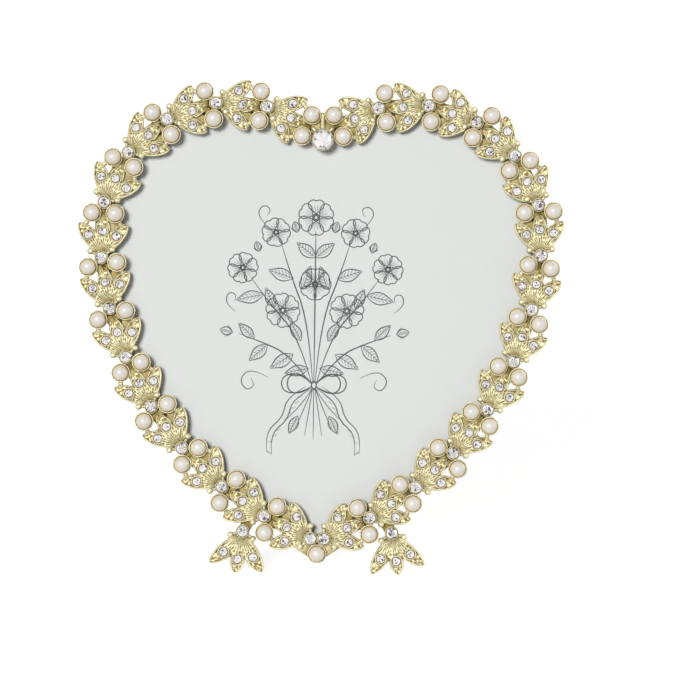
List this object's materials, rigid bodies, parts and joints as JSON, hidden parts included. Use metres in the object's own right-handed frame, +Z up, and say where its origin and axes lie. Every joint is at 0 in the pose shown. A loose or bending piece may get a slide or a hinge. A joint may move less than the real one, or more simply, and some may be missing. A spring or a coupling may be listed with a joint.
{
  "type": "photo frame",
  "caption": "Heart-shaped easel photo frame: a gold ring of cast leaf sprigs set with pearls and crystals round a glazed card, on leaf feet and a folding velvet strut.",
  "frame": {"origin": "on the table under the middle of the standing frame's box", "axes": "+Z up, +X to the viewer's right, +Y from the front of the frame to its back"},
  "size_m": [0.1236, 0.056, 0.1238],
  "materials": {
    "gold_casting": "polished pale gold plate",
    "gold_rim": "satin pale gold plate",
    "pearl": "pearl lustre",
    "crystal": "faceted",
    "glass": "clear",
    "card": "smooth printed card",
    "filler": "plain",
    "board": "pressed",
    "velvet": "short pile",
    "hinge_brass": "satin",
    "screw_steel": "brass washed"
  },
  "bodies": {
    "frame": {"rim": "gold_rim", "sprig_left_01": "gold_casting", "sprig_left_02": "gold_casting", "sprig_left_03": "gold_casting", "sprig_left_04": "gold_casting", "sprig_left_05": "gold_casting", "sprig_left_06": "gold_casting", "sprig_left_07": "gold_casting", "sprig_left_08": "gold_casting", "sprig_left_09": "gold_casting", "sprig_left_10": "gold_casting", "sprig_left_11": "gold_casting", "sprig_left_12": "gold_casting", "sprig_left_13": "gold_casting", "foot_left": "gold_casting", "sprig_right_01": "gold_casting", "sprig_right_02": "gold_casting", "sprig_right_03": "gold_casting", "sprig_right_04": "gold_casting", "sprig_right_05": "gold_casting", "sprig_right_06": "gold_casting", "sprig_right_07": "gold_casting", "sprig_right_08": "gold_casting", "sprig_right_09": "gold_casting", "sprig_right_10": "gold_casting", "sprig_right_11": "gold_casting", "sprig_right_12": "gold_casting", "sprig_right_13": "gold_casting", "foot_right": "gold_casting", "cleft_setting": "gold_casting", "point_setting": "gold_casting", "pearls_left": "pearl", "joint_crystals_left": "crystal", "leaf_crystals_left": "crystal", "pearls_right": "pearl", "joint_crystals_right": "crystal", "leaf_crystals_right": "crystal", "foot_crystals": "crystal", "cleft_crystal": "crystal", "point_pearl": "pearl", "glass": "glass", "photo_card": "card", "filler_board": "filler", "back_board": "board", "back_velvet": "velvet", "frame_hinge_plate": "hinge_brass", "frame_hinge_rivets": "hinge_brass", "hinge_pin": "hinge_brass", "button_screws": "screw_steel"},
    "strut": {"strut_board": "board", "strut_velvet": "velvet", "strut_hinge_plate": "hinge_brass", "strut_hinge_rivets": "hinge_brass"},
    "turn_button_1": {"turn_button_1": "hinge_brass"},
    "turn_button_2": {"turn_button_2": "hinge_brass"},
    "turn_button_3": {"turn_button_3": "hinge_brass"},
    "turn_button_4": {"turn_button_4": "hinge_brass"}
  },
  "joints": [
    {"name": "strut_swing", "type": "hinge", "parent": "frame", "child": "strut", "pos_m": [0, -0.00269, 0.0817], "axis": [1, 0, 0], "range_deg": [-30, 0]},
    {"name": "turn_button_1_turn", "type": "hinge", "parent": "frame", "child": "turn_button_1", "pos_m": [-0.03567, 0.00214, 0.11775], "axis": [0, -0.9848, 0.1736], "continuous": true},
    {"name": "turn_button_2_turn", "type": "hinge", "parent": "frame", "child": "turn_button_2", "pos_m": [-0.04057, -0.01285, 0.03273], "axis": [0, -0.9848, 0.1736], "continuous": true},
    {"name": "turn_button_3_turn", "type": "hinge", "parent": "frame", "child": "turn_button_3", "pos_m": [0.03526, 0.00217, 0.1179], "axis": [0, -0.9848, 0.1736], "continuous": true},
    {"name": "turn_button_4_turn", "type": "hinge", "parent": "frame", "child": "turn_button_4", "pos_m": [0.04021, -0.01293, 0.03227], "axis": [0, -0.9848, 0.1736], "continuous": true}
  ]
}
